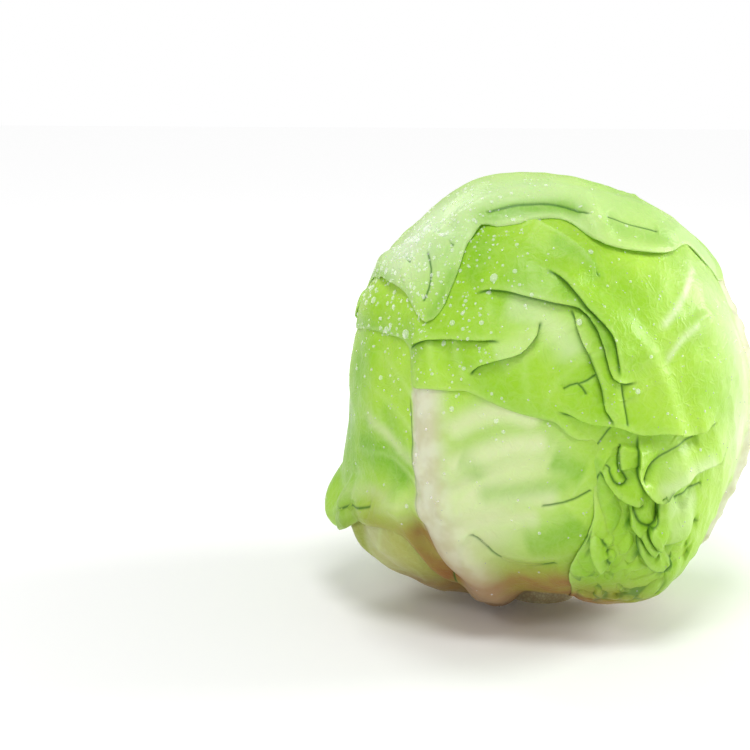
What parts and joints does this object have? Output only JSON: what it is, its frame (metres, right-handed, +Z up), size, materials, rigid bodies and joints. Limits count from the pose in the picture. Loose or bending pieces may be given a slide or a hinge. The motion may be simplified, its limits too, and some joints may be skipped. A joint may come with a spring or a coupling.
{
  "type": "green cabbage head",
  "caption": "Whole head of green cabbage: a dense round heart wrapped in thin ribbed leaves, standing on its short trimmed stalk.",
  "frame": {"origin": "centre of the stalk's flat cut face, which the head stands on", "axes": "+Z up along the stalk, -Y towards the front, where the broad white midrib and the gathered folds are, +X to the right of someone facing the front"},
  "size_m": [0.1905, 0.1853, 0.1937],
  "materials": {
    "leaf_green": "waxy leaf, satin, with fine pale veins",
    "pale_leaf": "pale inner leaf, satin",
    "cut_stalk": "dry cut plant tissue, matt"
  },
  "bodies": {
    "root": {"heart": "pale_leaf", "stem": "cut_stalk", "left_leaf": "leaf_green", "base_leaf_1": "leaf_green", "base_leaf_2": "leaf_green", "base_leaf_3": "leaf_green", "base_leaf_4": "leaf_green", "front_leaf": "leaf_green", "cap_leaf": "leaf_green", "crown_leaf": "leaf_green"}
  },
  "joints": []
}
